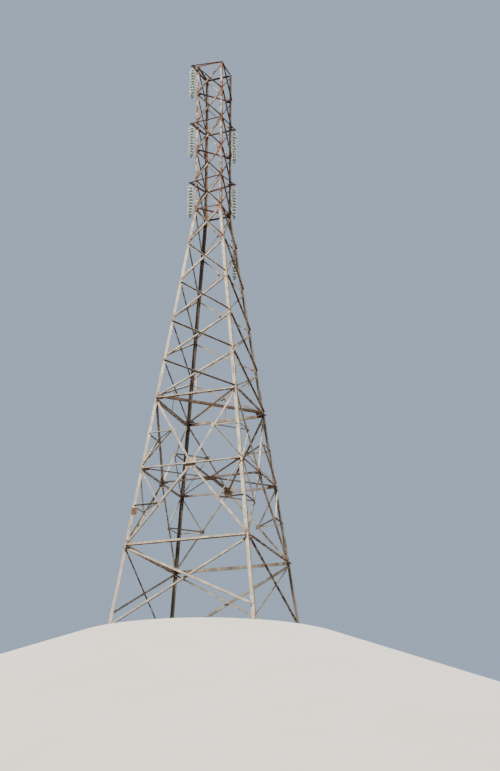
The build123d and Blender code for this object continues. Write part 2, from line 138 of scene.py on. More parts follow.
def blend_colour(tree, share, first, second):
    """The first colour where share is 0, the second where it is 1."""
    return add(tree, "ShaderNodeMix", {"data_type": "RGBA"}, {0: share, 6: first, 7: second}).outputs[2]


def near_levels(tree, height, levels, reach):
    """1 at the panel points' levels, falling to 0 at reach from them."""
    nearest = None
    for level in levels:
        above = add(tree, "ShaderNodeMath", {"operation": "SUBTRACT"}, {0: height, 1: level}).outputs[0]
        gap = add(tree, "ShaderNodeMath", {"operation": "ABSOLUTE"}, {0: above}).outputs[0]
        if nearest is not None:
            gap = add(tree, "ShaderNodeMath", {"operation": "MINIMUM"}, {0: nearest, 1: gap}).outputs[0]
        nearest = gap
    return add(tree, "ShaderNodeMapRange", {"interpolation_type": "SMOOTHSTEP"},
               {"Value": nearest, "From Min": reach, "From Max": 0.0}).outputs[0]


# How much more the cage rusts, and where that starts and is full, from the waist
CAGE_RUST = 0.15
RUST_BELOW_WAIST = 3
RUST_OVER_WAIST = 1
# The share of joint rust in the middle of a bar, half a joint's width, and how much farther than up
# and down the rust of a joint spreads sideways
MID_BAR_RUST = 0.3
JOINT_HALF = 0.1
SIDEWAYS = 1.3


def near_legs(tree, place, height, reach):
    """1 at the corners of the tower, falling to MID_BAR_RUST in the middle of the bars."""
    taper = add(tree, "ShaderNodeMath", {"operation": "MULTIPLY_ADD"},
                {0: height, 1: -BATTER, 2: CAGE_HALF + BATTER * WAIST}).outputs[0]
    width = add(tree, "ShaderNodeMath", {"operation": "MAXIMUM"}, {0: taper, 1: CAGE_HALF}).outputs[0]
    folded = add(tree, "ShaderNodeVectorMath", {"operation": "ABSOLUTE"}, {0: place}).outputs[0]
    across = add(tree, "ShaderNodeSeparateXYZ", {}, {0: folded}).outputs
    inner = add(tree, "ShaderNodeMath", {"operation": "MINIMUM"}, {0: across["X"], 1: across["Y"]})
    gap = add(tree, "ShaderNodeMath", {"operation": "SUBTRACT"}, {0: width, 1: inner.outputs[0]}).outputs[0]
    return add(tree, "ShaderNodeMapRange", {"interpolation_type": "SMOOTHSTEP"},
               {"Value": gap, "From Min": reach, "From Max": JOINT_HALF, "To Min": MID_BAR_RUST}).outputs[0]


def underside(tree):
    """1 on faces that look down, 0 on upright ones."""
    outward = add(tree, "ShaderNodeNewGeometry", {}, {}).outputs["Normal"]
    rise = add(tree, "ShaderNodeSeparateXYZ", {}, {0: outward}).outputs["Z"]
    return add(tree, "ShaderNodeMapRange", {"interpolation_type": "SMOOTHSTEP"},
               {"Value": rise, "From Min": -0.45, "From Max": -0.9}).outputs[0]


def painted_inner_shade(tree, place):
    """1 on faces that look at the tower's axis, 0 on outer ones: the mask of painted shade on the inner
    sides.
    """
    level = add(tree, "ShaderNodeVectorMath", {"operation": "MULTIPLY"}, {0: place, 1: (1, 1, 0)})
    away = add(tree, "ShaderNodeVectorMath", {"operation": "NORMALIZE"}, {0: level.outputs[0]}).outputs[0]
    outward = add(tree, "ShaderNodeNewGeometry", {}, {}).outputs["Normal"]
    facing_out = add(tree, "ShaderNodeVectorMath", {"operation": "DOT_PRODUCT"}, {0: outward, 1: away})
    return add(tree, "ShaderNodeMapRange", {"interpolation_type": "SMOOTHSTEP"},
               {"Value": facing_out.outputs["Value"], "From Min": -0.2, "From Max": -0.5}).outputs[0]


# Sizes of the patterns on old zinc. The real grain is finer, and is drawn coarse to show
CLOUD = 0.35
GRAIN = 0.012
BLOB = 0.12
RUN = 0.08
RUN_STRETCH = (1, 1, 2)
WET_PATCH = 0.25
RUST_CLOUD = 0.05
PIT = 0.02
PIT_DEPTH = 0.0015
ZINC_ROUGHNESS = 0.58
RUST_ROUGHNESS = 0.92
# Chalk hides most of the metal's shine
ZINC_METALLIC = 0.25


def weathered_zinc(name, pale, dull, rust, scorch, joints, scatter, reach, levels, inner=None):
    """Old galvanised steel: chalky zinc, with orange-brown rust at the joints and in scattered runs.

    joints and scatter raise the share of rust within reach of the levels and anywhere. The inner colour,
    when given, is painted shade on faces that look at the tower's axis.
    """
    material, tree, shader = new_material(name)
    place = add(tree, "ShaderNodeTexCoord", {}, {}).outputs["Object"]
    height = add(tree, "ShaderNodeSeparateXYZ", {}, {0: place}).outputs["Z"]
    clouds = spots(tree, place, CLOUD, low=0.35, high=0.65)
    grain = spots(tree, place, GRAIN, low=0.3, high=0.7, detail=2.0)
    zinc = blend_colour(tree, clouds, linear(dull), linear(pale))
    if inner is not None:
        # Faces looking at the tower's axis take the inner colour: painted shade for the inner sides, which
        # lie in shadow
        zinc = blend_colour(tree, painted_inner_shade(tree, place), zinc, linear(inner))
    half_dull = blend_colour(tree, 0.5, linear(dull), zinc)
    speckled = blend_colour(tree, grain, half_dull, zinc)

    # The cage has rusted most, and the rust grows towards it
    lift = add(tree, "ShaderNodeMapRange", {},
               {"Value": height, "From Min": WAIST - RUST_BELOW_WAIST, "From Max": WAIST + RUST_OVER_WAIST,
                "To Min": 0.0, "To Max": CAGE_RUST}).outputs[0]
    # Blobs near the joints
    blobs = spots(tree, place, BLOB, low=0.62 - joints, high=0.78 - joints, lift=lift)
    close = near_levels(tree, height, levels, reach)
    corner = near_legs(tree, place, height, reach * SIDEWAYS)
    joint = add(tree, "ShaderNodeMath", {"operation": "MULTIPLY"}, {0: close, 1: corner}).outputs[0]
    at_joints = add(tree, "ShaderNodeMath", {"operation": "MULTIPLY"}, {0: blobs, 1: joint}).outputs[0]
    # Upright runs anywhere
    runs = spots(tree, place, RUN, low=0.70 - scatter, high=0.78 - scatter, detail=5.0,
                 stretch=RUN_STRETCH, lift=lift)
    # Brown patches on faces that look down
    patches = spots(tree, place, WET_PATCH, low=0.38, high=0.58)
    below = add(tree, "ShaderNodeMath", {"operation": "MULTIPLY"}, {0: underside(tree), 1: patches})
    away = add(tree, "ShaderNodeMath", {"operation": "MAXIMUM"}, {0: runs, 1: below.outputs[0]}).outputs[0]
    rusty = add(tree, "ShaderNodeMath", {"operation": "MAXIMUM"}, {0: at_joints, 1: away}).outputs[0]
    rust_clouds = spots(tree, place, RUST_CLOUD, low=0.4, high=0.65)
    rust_tint = blend_colour(tree, rust_clouds, linear(scorch), linear(rust))
    tree.links.new(blend_colour(tree, rusty, speckled, rust_tint), shader.inputs["Base Color"])

    rough = add(tree, "ShaderNodeMapRange", {},
                {"Value": rusty, "To Min": ZINC_ROUGHNESS, "To Max": RUST_ROUGHNESS}).outputs[0]
    tree.links.new(rough, shader.inputs["Roughness"])
    metal = add(tree, "ShaderNodeMapRange", {},
                {"Value": rusty, "To Min": ZINC_METALLIC, "To Max": 0.0}).outputs[0]
    tree.links.new(metal, shader.inputs["Metallic"])
    pits = spots(tree, place, PIT, low=0.3, high=0.8)
    bump = add(tree, "ShaderNodeBump", {}, {"Strength": 0.5, "Distance": PIT_DEPTH, "Height": pits})
    tree.links.new(bump.outputs[0], shader.inputs["Normal"])
    return material


def panel_levels():
    """The levels of all panel points, from the feet to the top."""
    levels = [0.0, LOWER_BELT, MIDDLE_BELT, UPPER_BELT]
    for height in BODY_PANELS:
        levels.append(levels[-1] + height)
    return levels + [WAIST + CAGE_PANEL * (index + 1) for index in range(CAGE_PANELS)]


LEVELS = panel_levels()

# Hot-dip galvanising gone chalky on the legs: pale cream with rust bleeding round the joints, and
# brown-grey painted shade on the inner sides, which face the tower's axis
leg_zinc = weathered_zinc("chalky_galvanised_leg", "#D6CBB8", "#AAA090", "#A86A45", "#5C3A26",
                          joints=0.17, scatter=0.07, reach=0.5, levels=LEVELS, inner="#5E554B")
# Thinner bars: the same chalky cream, a little greyer, with browner rust at their ends and in runs
bar_zinc = weathered_zinc("rusting_galvanised_bar", "#CFC3AF", "#968B7D", "#9E6440", "#503422",
                          joints=0.17, scatter=0.05, reach=0.6, levels=LEVELS)
# The bars inside the tower have hardly any zinc left: brown with grey remains. The rings and the arms
# take the same dark finish as painted shade, for the shadow they lie in
plan_rust_and_painted_shade = weathered_zinc("rusted_plan_bar_and_painted_shade", "#7E7468", "#5A5148", "#8A5632", "#40291A",
                           joints=0.2, scatter=0.2, reach=0.6, levels=LEVELS)
# Thick foot plates: dull zinc and soil stains
foot_zinc = weathered_zinc("soiled_galvanised_foot", "#A39A8B", "#746B60", "#7A5238", "#463426",
                           joints=0.16, scatter=0.1, reach=0.5, levels=[0.0, 0.1])
# Forged bolts rust first: brown, with some dull zinc left
bolt_rust = weathered_zinc("rusted_forged_bolt", "#9C8F80", "#6B5E52", "#80553A", "#463126",
                           joints=0.25, scatter=0.2, reach=0.6, levels=LEVELS)
# Malleable iron of the caps, pins and clamps, hot-dip galvanised and hardly rusted: pale grey, made
# paler still as painted light against the shade under the discs
cap_iron_painted_paler = weathered_zinc("galvanised_malleable_iron_painted_paler", "#D2D4CF", "#B0B3AE", "#8A6040", "#573F2C",
                          joints=-0.1, scatter=-0.13, reach=0.3, levels=LEVELS)


def toughened_glass():
    """Pressed and toughened soda-lime glass: pale green, milky with light, with a film of dust."""
    material, tree, shader = new_material("toughened_green_glass")
    place = add(tree, "ShaderNodeTexCoord", {}, {}).outputs["Object"]
    # Dust in clouds of 60 mm, which dulls the gloss
    dust = spots(tree, place, 0.06, low=0.4, high=0.8)
    tint = blend_colour(tree, dust, linear("#D6F2E4"), linear("#F0FAF5"))
    tree.links.new(tint, shader.inputs["Base Color"])
    rough = add(tree, "ShaderNodeMapRange", {}, {"Value": dust, "To Min": 0.06, "To Max": 0.3}).outputs[0]
    tree.links.new(rough, shader.inputs["Roughness"])
    shader.inputs["IOR"].default_value = 1.52
    shader.inputs["Transmission Weight"].default_value = 0.2
    # Light spreads through the whole of the thick glass
    shader.inputs["Subsurface Weight"].default_value = 1.0
    shader.inputs["Subsurface Radius"].default_value = (1.0, 1.0, 1.0)
    shader.inputs["Subsurface Scale"].default_value = 0.16
    return material


def pale_ground():
    """Plain pale studio ground, matt, with faint clouds 3 m across."""
    material, tree, shader = new_material("plain_pale_ground")
    place = add(tree, "ShaderNodeTexCoord", {}, {}).outputs["Object"]
    clouds = spots(tree, place, 3.0, low=0.3, high=0.7)
    tint = blend_colour(tree, clouds, linear("#CFCCC5"), linear("#D4D1CB"))
    tree.links.new(tint, shader.inputs["Base Color"])
    shader.inputs["Roughness"].default_value = 0.95
    return material


glass = toughened_glass()


# Finishes of the CAD nodes, by the start of their names

# The rings and the arms take the dark finish as painted shade
FINISHES = [("foot_", foot_zinc), ("leg_", leg_zinc), ("plan_", plan_rust_and_painted_shade), ("cage_rings", plan_rust_and_painted_shade),
            ("arm_", plan_rust_and_painted_shade), ("", bar_zinc)]
for name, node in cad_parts.items():
    finish = next(material for start, material in FINISHES if name.startswith(start))
    if node.material_slots:
        for place in node.material_slots:
            place.material = finish
    else:
        node.data.materials.append(finish)


# Shapes

MERGE_DISTANCE = 1e-6


def mesh_of(bm):
    """Turns a bmesh into a mesh and frees it."""
    mesh = bpy.data.meshes.new("shape")
    bm.to_mesh(mesh)
    bm.free()
    return mesh


def rod(bm, radius, low, high, sides):
    """A prism round +Z between two heights."""
    place = Matrix.Translation((0, 0, (low + high) / 2))
    bmesh.ops.create_cone(bm, cap_ends=True, segments=sides, radius1=radius, radius2=radius,
                          depth=high - low, matrix=place)


def spun(bm, outline, steps):
    """A closed outline of (radius, height) pairs, spun round +Z."""
    start = [bm.verts.new((r, 0, z)) for r, z in outline]
    edges = [bm.edges.new((a, b)) for a, b in zip(start, start[1:] + start[:1])]
    bmesh.ops.spin(bm, geom=start + edges, cent=(0, 0, 0), axis=(0, 0, 1), angle=math.tau, steps=steps,
                   use_merge=True)


def stamp(bm, shape, place):
    """Adds a copy of a small mesh at a place."""
    copy = shape.copy()
    copy.transform(place)
    bm.from_mesh(copy)
    bpy.data.meshes.remove(copy)


def join(bm, part):
    """Adds a whole bmesh to another and frees it."""
    mesh = mesh_of(part)
    bm.from_mesh(mesh)
    bpy.data.meshes.remove(mesh)


def finished(name, bm, material, smooth=False):
    """Makes one piece of a bmesh, outward faces, riding on the tower."""
    bmesh.ops.remove_doubles(bm, verts=bm.verts, dist=MERGE_DISTANCE)
    bmesh.ops.recalc_face_normals(bm, faces=bm.faces)
    for face in bm.faces:
        face.smooth = smooth
    obj = bpy.data.objects.new(name, mesh_of(bm))
    bpy.context.collection.objects.link(obj)
    obj.data.materials.append(material)
    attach(obj, "root")
    return obj


def facing(point, normal, turn):
    """The place of a shape whose +Z looks along normal."""
    aim = normal.to_track_quat("Z", "Y").to_matrix().to_4x4()
    return Matrix.Translation(point) @ aim @ Matrix.Rotation(turn, 4, "Z")


# Bolts, seated on the steel by rays through each hole's place

BOLT_ACROSS = 0.026
HEX_RADIUS = BOLT_ACROSS / math.sqrt(3)
SHANK_RADIUS = BOLT_ACROSS * 0.33
WASHER_RADIUS = BOLT_ACROSS * 0.68
WASHER_THICKNESS = BOLT_ACROSS * 0.1
HEAD_HEIGHT = 0.011
NUT_HEIGHT = 0.013
BOLT_END = 0.009


def bolt_head():
    """A round washer and a hexagon head."""
    bm = bmesh.new()
    rod(bm, WASHER_RADIUS, 0, WASHER_THICKNESS, 10)
    rod(bm, HEX_RADIUS, WASHER_THICKNESS, WASHER_THICKNESS + HEAD_HEIGHT, 6)
    return mesh_of(bm)


def bolt_nut():
    """A hexagon nut with the end of the bolt standing out of it."""
    bm = bmesh.new()
    rod(bm, HEX_RADIUS, 0, NUT_HEIGHT, 6)
    rod(bm, SHANK_RADIUS, NUT_HEIGHT, NUT_HEIGHT + BOLT_END, 6)
    return mesh_of(bm)


def steel_tree():
    """The CAD steel as one tree for rays, without the strings."""
    bm = bmesh.new()
    for name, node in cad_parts.items():
        if not name.startswith("glass_string"):
            bm.from_mesh(node.data)
    tree = BVHTree.FromBMesh(bm)
    bm.free()
    return tree


STEEL = steel_tree()
HEAD = bolt_head()
NUT = bolt_nut()
# How far the rays start from the steel, the thinnest and thickest grip, and how deep heads sit
GRIP_REACH = 0.07
GRIP_LEAST = 0.009
GRIP_MOST = 0.05
SINK = 0.0005


def grip(point, normal):
    """The two surfaces of the steel round a bolt's place, or None where a bolt can't be."""
    outer = STEEL.ray_cast(point + normal * GRIP_REACH, -normal, GRIP_REACH * 2)[0]
    inner = STEEL.ray_cast(point - normal * GRIP_REACH, normal, GRIP_REACH * 2)[0]
    if outer is None or inner is None:
        return None
    thickness = (outer - inner).dot(normal)
    return (outer, inner) if GRIP_LEAST < thickness < GRIP_MOST else None


def bolt(bm, point, normal):
    """A head outside and a nut inside, turned at random."""
    held = grip(point, normal)
    turn = random.uniform(0, math.pi / 3)
    if held is None:
        return
    outer, inner = held
    stamp(bm, HEAD, facing(outer - normal * SINK, normal, turn))
    stamp(bm, NUT, facing(inner + normal * SINK, -normal, turn))


def row(start, end, count, first=0.0, pitch=BOLT_PITCH):
    """Points along a bar, counted from its start towards its end, as (u, z)."""
    length = math.dist(start, end)
    shares = [(first + pitch * index) / length for index in range(count)]
    return [(start[0] + (end[0] - start[0]) * s, start[1] + (end[1] - start[1]) * s) for s in shares]


def both_ends(start, end, count):
    """Rows at both ends of a bar."""
    return row(start, end, count) + row(end, start, count)


def crossing(a, b, c, d):
    """Where the line a to b crosses the line c to d."""
    (x1, y1), (x2, y2), (x3, y3), (x4, y4) = a, b, c, d
    rise = (x2 - x1) * (y4 - y3) - (y2 - y1) * (x4 - x3)
    share = ((x3 - x1) * (y4 - y3) - (y3 - y1) * (x4 - x3)) / rise
    return x1 + share * (x2 - x1), y1 + share * (y2 - y1)


def crossed(low, high, low_gaps, high_gap, gauge, count):
    """Bolts of a panel's two bars: count at each end, and one where they cross."""
    rising_z = low + low_gaps[0]
    falling_z = low + low_gaps[1]
    top_z = high - high_gap
    top_u = half(top_z) - gauge
    rising = (-(half(rising_z) - gauge), rising_z), (top_u, top_z)
    falling = (half(falling_z) - gauge, falling_z), (-top_u, top_z)
    return both_ends(*rising, count) + both_ends(*falling, count) + [crossing(*rising, *falling)]


def cage_bolts():
    """Five crossed panels, and the ends of the two rings' bars."""
    places = []
    for index in range(CAGE_PANELS):
        low = WAIST + index * CAGE_PANEL
        high_gap = TOP_GAP if index == CAGE_PANELS - 1 else CAGE_GAP
        places += crossed(low, low + CAGE_PANEL, (CAGE_GAP, CAGE_GAP), high_gap, CAGE_GAUGE, 1)
    u = CAGE_HALF - CAGE_GAUGE
    for z in (TOWER - RING_DROP, WAIST + WAIST_RING_LIFT):
        places += [(-u, z), (u, z)]
    return places


def body_bolts():
    """Five crossed panels."""
    places = []
    low = UPPER_BELT
    for height in BODY_PANELS:
        places += crossed(low, low + height, (BODY_GAP, BODY_GAP), BODY_GAP, BODY_GAUGE, 2)
        low += height
    return places


# First bolts of the quarter gusset and of the two sub-bars, from the gusset's middle, and their pitch
GUSSET_FIRST = 0.025
LEVEL_BAR_FIRST = 0.064
SLOPING_BAR_FIRST = 0.076
SUB_BAR_PITCH = 0.038


def hip_half_bolts(side, z_leg, z_middle, z_far):
    """Half a hip panel: its long bar, its quarter gusset and the two sub-bars out to the leg."""
    leg_end = (side * (half(z_leg) - BODY_GAUGE), z_leg)
    middle_end = (side * MIDDLE_INSET, z_middle)
    u = (leg_end[0] + middle_end[0]) / 2
    z = (leg_end[1] + middle_end[1]) / 2
    quarter = (u, z)
    level_foot = (side * (half(z) - BODY_GAUGE), z)
    sloping_foot = (side * (half(z_far) - BODY_GAUGE), z_far)
    places = row(leg_end, middle_end, 2) + row(middle_end, leg_end, 3)
    places += row(quarter, leg_end, 2, GUSSET_FIRST) + row(quarter, middle_end, 2, GUSSET_FIRST)
    for first, foot in ((LEVEL_BAR_FIRST, level_foot), (SLOPING_BAR_FIRST, sloping_foot)):
        places += row(quarter, foot, 2, first, SUB_BAR_PITCH) + row(foot, quarter, 2)
    return places


def hip_bolts():
    """The V over the middle belt and the inverted V under it."""
    places = []
    for side in (-1, 1):
        places += hip_half_bolts(side, UPPER_BELT - BODY_GAP, MIDDLE_BELT + MIDDLE_STAND_OFF,
                                 MIDDLE_BELT + BODY_GAP)
        places += hip_half_bolts(side, LOWER_BELT + BODY_GAP, MIDDLE_BELT - MIDDLE_STAND_OFF,
                                 MIDDLE_BELT - BODY_GAP)
    return places


# The belts with half the height between their two rows, and the middle gusset's bolts
BELTS = ((UPPER_BELT, 0.028), (MIDDLE_BELT, 0.0), (LOWER_BELT, 0.032))
BELT_PITCH = 0.03
GUSSET_ROW = (-0.17, -0.12, 0.12, 0.17)


def belt_bolts():
    """Pairs of bolts at each leg, a row over the middle gusset, and the bolt of the hanger."""
    places = []
    for z, spread in BELTS:
        u = half(z) - BODY_GAUGE
        for side in (-1, 1):
            for lift in {-spread, spread}:
                places += [(side * u, z + lift), (side * (u - BELT_PITCH), z + lift)]
    places += [(u, MIDDLE_BELT) for u in GUSSET_ROW]
    places.append((0, UPPER_BELT))
    return places


def base_bolts():
    """The two long crossed bars under the lower belt."""
    return crossed(0, LOWER_BELT, (BASE_RISING_GAP, BASE_FALLING_GAP), BODY_GAP, BODY_GAUGE, 2)


def face_bolts(name, places):
    """The bolts of all four faces, drawn on the front one and turned."""
    bm = bmesh.new()
    for turned in QUARTERS:
        for u, z in places:
            bolt(bm, turned @ on_face(u, z), turned.to_3x3() @ face_normal(z))
    finished(name, bm, bolt_rust)


# Plates of the level bars inside the tower: their sides, and how far a bar laps over them
PLAN_PLATE = 0.008
CAGE_CORNER_PLATE = 0.29
CAGE_LAP = 0.07
BODY_CORNER_PLATE = 0.5
BODY_LAP = 0.12
SIDE_PLATE = 0.23
# Where the star's bars start from the axis, and how far a bolt keeps from the end of a bar
STAR_START = 0.13
END_DISTANCE = 0.03
WAIST_PLAN_LIFT = 0.034
UPPER_PLAN_LIFT = 0.059


def diagonal_end(z, plate, lap):
    """Where a level bar ends on its corner plate, from the axis along the diagonal."""
    return (half(z) - LEG_THICKNESS) * math.sqrt(2) - plate / math.sqrt(2) + lap


def plan_runs():
    """Rows of upright bolts: angle, first distance from the axis, way, height, count."""
    for z in (WAIST + WAIST_PLAN_LIFT, WAIST + 2 * CAGE_PANEL, WAIST + 4 * CAGE_PANEL):
        end = diagonal_end(z, CAGE_CORNER_PLATE, CAGE_LAP)
        yield from ((angle, end - END_DISTANCE, -1, z, 1) for angle in (45, 225))
    z = UPPER_BELT + UPPER_PLAN_LIFT
    end = diagonal_end(z, BODY_CORNER_PLATE, BODY_LAP)
    yield 45, 0.0, 1, z, 1
    yield from ((angle, end - END_DISTANCE, -1, z, 2) for angle in (45, 135, 225, 315))
    z = MIDDLE_BELT - PLAN_PLATE / 2
    corner = diagonal_end(z, BODY_CORNER_PLATE, BODY_LAP)
    middle = half(z) - LEG_THICKNESS - SIDE_PLATE + BODY_LAP
    for angle in range(0, 360, 45):
        end = corner if angle % 90 else middle
        yield angle, end - END_DISTANCE, -1, z, 2
        yield angle, STAR_START + END_DISTANCE, 1, z, 3


def plan_bolts():
    """The upright bolts of the level bars inside the tower."""
    bm = bmesh.new()
    up = Vector((0, 0, 1))
    for angle, first, way, z, count in plan_runs():
        ray = Vector((math.cos(math.radians(angle)), math.sin(math.radians(angle)), 0))
        for index in range(count):
            bolt(bm, ray * (first + way * BOLT_PITCH * index) + up * (z + PLAN_PLATE / 2), up)
    finished("plan_bolts", bm, bolt_rust)


# Each arm corner, 1 for front left and -1 for back right, with its arms in panels from the top
ARM_CORNERS = ((1, (0, 2, 4)), (-1, (2, 4)))
# The bolts of a tab, from the middle of the face
TAB_BOLTS = (0.567, 0.525)
# Mirrors the front face onto the left one
SWAP = Matrix(((0, 1, 0), (1, 0, 0), (0, 0, 1)))


def arm_bolts():
    """Two bolts through each tab that holds an arm's bar to the far leg."""
    bm = bmesh.new()
    for side, panels in ARM_CORNERS:
        for panel in panels:
            z = TOWER - max(panel * CAGE_PANEL, RING_DROP)
            for u in TAB_BOLTS:
                for across in (Matrix.Identity(3), SWAP):
                    point = across @ Vector((u, -CAGE_HALF, z))
                    normal = across @ Vector((0, -1, 0))
                    bolt(bm, Vector((side * point.x, side * point.y, z)), normal * side)
    finished("arm_bolts", bm, bolt_rust)


# Middles of the leg splices, their bolts in a flange, and the two rows' distances from the heel
SPLICE_MIDDLES = [WAIST + 0.45 * CAGE_PANEL, UPPER_BELT + 0.5 * BODY_PANELS[0],
                  LOWER_BELT + 0.55 * LOWER_HIP / 2]
SPLICE_BOLTS = 8
SPLICE_ROWS = (0.075, 0.042)


def splice_bolts():
    """Two staggered rows on each flange of every leg splice."""
    bm = bmesh.new()
    for turned in QUARTERS:
        for middle in SPLICE_MIDDLES:
            for index in range(SPLICE_BOLTS):
                z = middle + (index - (SPLICE_BOLTS - 1) / 2) * BOLT_PITCH
                for side in (-1, 1):
                    point = on_face(side * (half(z) - SPLICE_ROWS[index % 2]), z)
                    bolt(bm, turned @ point, turned.to_3x3() @ face_normal(z))
    finished("splice_bolts", bm, bolt_rust)


face_bolts("cage_bolts", cage_bolts())
face_bolts("body_bolts", body_bolts())
face_bolts("hip_bolts", hip_bolts())
face_bolts("belt_bolts", belt_bolts())
face_bolts("base_bolts", base_bolts())
plan_bolts()
arm_bolts()
splice_bolts()


# Insulator strings

DISC_PITCH = 0.146
DISCS = 10
CAP_HEIGHT = 0.07
STRINGS = ["left_top", "left_middle", "left_bottom", "right_top", "right_middle", "right_bottom"]

# Outline of a glass shell below the foot of its cap: the smooth top, the rim, and three deep ribs
SHELL = [(0.030, 0.000), (0.046, -0.001), (0.062, -0.005), (0.084, -0.013), (0.106, -0.022),
         (0.120, -0.030), (0.1262, -0.036), (0.1265, -0.041), (0.122, -0.044), (0.116, -0.038),
         (0.106, -0.034), (0.1035, -0.054), (0.100, -0.058), (0.0965, -0.054), (0.093, -0.031),
         (0.082, -0.029), (0.0795, -0.058), (0.076, -0.062), (0.0725, -0.058), (0.069, -0.027),
         (0.058, -0.026), (0.0555, -0.056), (0.052, -0.060), (0.0485, -0.056), (0.044, -0.026),
         (0.030, -0.024)]
# The cap over it, with its socket for the ball of the pin above
CAP = [(0.014, 0.070), (0.026, 0.070), (0.029, 0.064), (0.028, 0.055), (0.034, 0.047), (0.040, 0.036),
       (0.042, 0.014), (0.0485, 0.008), (0.049, -0.001), (0.043, -0.003), (0.014, -0.003)]
# The pin that hangs from the shell, with its ball at the foot
PIN = [(0.0005, -0.020), (0.029, -0.022), (0.029, -0.027), (0.014, -0.030), (0.0095, -0.036),
       (0.0095, -0.064), (0.0135, -0.071), (0.0135, -0.078), (0.0005, -0.080)]


def shape_of(outline, steps):
    """A small mesh, spun from its outline, for stamping."""
    bm = bmesh.new()
    spun(bm, outline, steps)
    bmesh.ops.recalc_face_normals(bm, faces=bm.faces)
    return mesh_of(bm)


SHELL_SHAPE = shape_of(SHELL, 28)
CAP_SHAPE = shape_of(CAP, 16)
PIN_SHAPE = shape_of(PIN, 12)

# The link over the first cap. Drops are counted from the arm's tip plate
LINK_LENGTH = 0.13
SHACKLE_RADIUS = 0.022
SHACKLE_BAR = 0.008
SHACKLE_DROP = 0.026
EYE_RADIUS = 0.018
EYE_BAR = 0.007
EYE_DROP = 0.058
EYE_ROD_RADIUS = 0.009
EYE_ROD_DROP = 0.078
EYE_ROD_FOOT = -0.004
COLLAR_RADIUS = 0.016
COLLAR_HEIGHT = 0.012


def round_ring(radius, thick, place):
    """A ring of round bar, standing in the XZ plane of its place."""
    bm = bmesh.new()
    bmesh.ops.create_circle(bm, segments=8, radius=thick, matrix=Matrix.Translation((radius, 0, 0)))
    bmesh.ops.spin(bm, geom=bm.verts[:] + bm.edges[:], cent=(0, 0, 0), axis=(0, -1, 0), angle=math.tau,
                   steps=16, use_merge=True)
    bmesh.ops.transform(bm, matrix=place, verts=bm.verts)
    return bm


def hanger_link(bm):
    """Shackle under the arm's tip plate, and the eye rod down to the first cap."""
    join(bm, round_ring(SHACKLE_RADIUS, SHACKLE_BAR, Matrix.Translation((0, 0, LINK_LENGTH - SHACKLE_DROP))))
    across = Matrix.Rotation(math.pi / 2, 4, "Z")
    join(bm, round_ring(EYE_RADIUS, EYE_BAR, Matrix.Translation((0, 0, LINK_LENGTH - EYE_DROP)) @ across))
    rod(bm, EYE_ROD_RADIUS, EYE_ROD_FOOT, LINK_LENGTH - EYE_ROD_DROP, 10)
    rod(bm, COLLAR_RADIUS, 0, COLLAR_HEIGHT, 12)


# The clamp: its boat seen from the side with the string's foot at 0, and the bolts of its keeper
BOAT = [(-0.108, -0.016), (-0.060, -0.004), (0.060, -0.004), (0.108, -0.016), (0.104, -0.026),
        (0.060, -0.052), (0.0, -0.060), (-0.060, -0.052), (-0.104, -0.026)]
BOAT_WIDTH = 0.048
BOAT_ROUNDING = 0.004
BOAT_TURN = 135
KEEPER_BOLTS = [(x, y) for x in (-0.035, 0.035) for y in (-0.016, 0.016)]
KEEPER_BOLT_RADIUS = 0.009
KEEPER_BOLT_LENGTH = 0.014
KEEPER_BOLT_MIDDLE = 0.004
# The strap from the boat up to the last pin's ball, with drops from the last cap's foot
CLAMP_DROP = 0.13
STRAP_RADIUS = 0.010
STRAP_SEAT = 0.006
STRAP_DROP = 0.070
SOCKET_RADIUS = 0.020
SOCKET_DROP = 0.060
SOCKET_FOOT_DROP = 0.085


def clamp_body(bm, foot):
    """Suspension clamp: a boat-shaped body with a keeper's bolts, and a strap up to the last pin."""
    boat = bmesh.new()
    corners = [boat.verts.new((x, -BOAT_WIDTH / 2, z)) for x, z in BOAT]
    face = boat.faces.new(corners)
    made = bmesh.ops.extrude_face_region(boat, geom=[face])
    moved = [v for v in made["geom"] if isinstance(v, bmesh.types.BMVert)]
    bmesh.ops.translate(boat, verts=moved, vec=(0, BOAT_WIDTH, 0))
    bmesh.ops.bevel(boat, geom=boat.edges[:], offset=BOAT_ROUNDING, segments=2, profile=0.5,
                    affect="EDGES", material=-1)
    for x, y in KEEPER_BOLTS:
        bmesh.ops.create_cone(boat, cap_ends=True, segments=6, radius1=KEEPER_BOLT_RADIUS,
                              radius2=KEEPER_BOLT_RADIUS, depth=KEEPER_BOLT_LENGTH,
                              matrix=Matrix.Translation((x, y, KEEPER_BOLT_MIDDLE)))
    turn = Matrix.Translation((0, 0, foot)) @ Matrix.Rotation(math.radians(BOAT_TURN), 4, "Z")
    bmesh.ops.transform(boat, matrix=turn, verts=boat.verts)
    join(bm, boat)
    rod(bm, STRAP_RADIUS, foot - STRAP_SEAT, foot + CLAMP_DROP - STRAP_DROP, 10)
    rod(bm, SOCKET_RADIUS, foot + CLAMP_DROP - SOCKET_FOOT_DROP, foot + CLAMP_DROP - SOCKET_DROP, 12)


def insulator_string(name):
    """Ten glass discs with their metal, in place of a plain CAD string."""
    low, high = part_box("glass_string_" + name)
    axis = Matrix.Translation(((low.x + high.x) / 2, (low.y + high.y) / 2, high.z))
    shells = bmesh.new()
    metal = bmesh.new()
    for index in range(DISCS):
        neck = Matrix.Translation((0, 0, -CAP_HEIGHT - index * DISC_PITCH))
        stamp(shells, SHELL_SHAPE, axis @ neck)
        stamp(metal, CAP_SHAPE, neck)
        stamp(metal, PIN_SHAPE, neck)
    hanger_link(metal)
    clamp_body(metal, low.z - high.z)
    bmesh.ops.transform(metal, matrix=axis, verts=metal.verts)
    glass_piece = finished("glass_shells_" + name, shells, glass, True)
    metal_piece = finished("string_metal_" + name, metal, cap_iron_painted_paler, True)
    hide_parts("glass_string_" + name)
    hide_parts("glass_string_" + name, "string_fittings")


for name in STRINGS:
    insulator_string(name)


# Anchor bolts of the feet

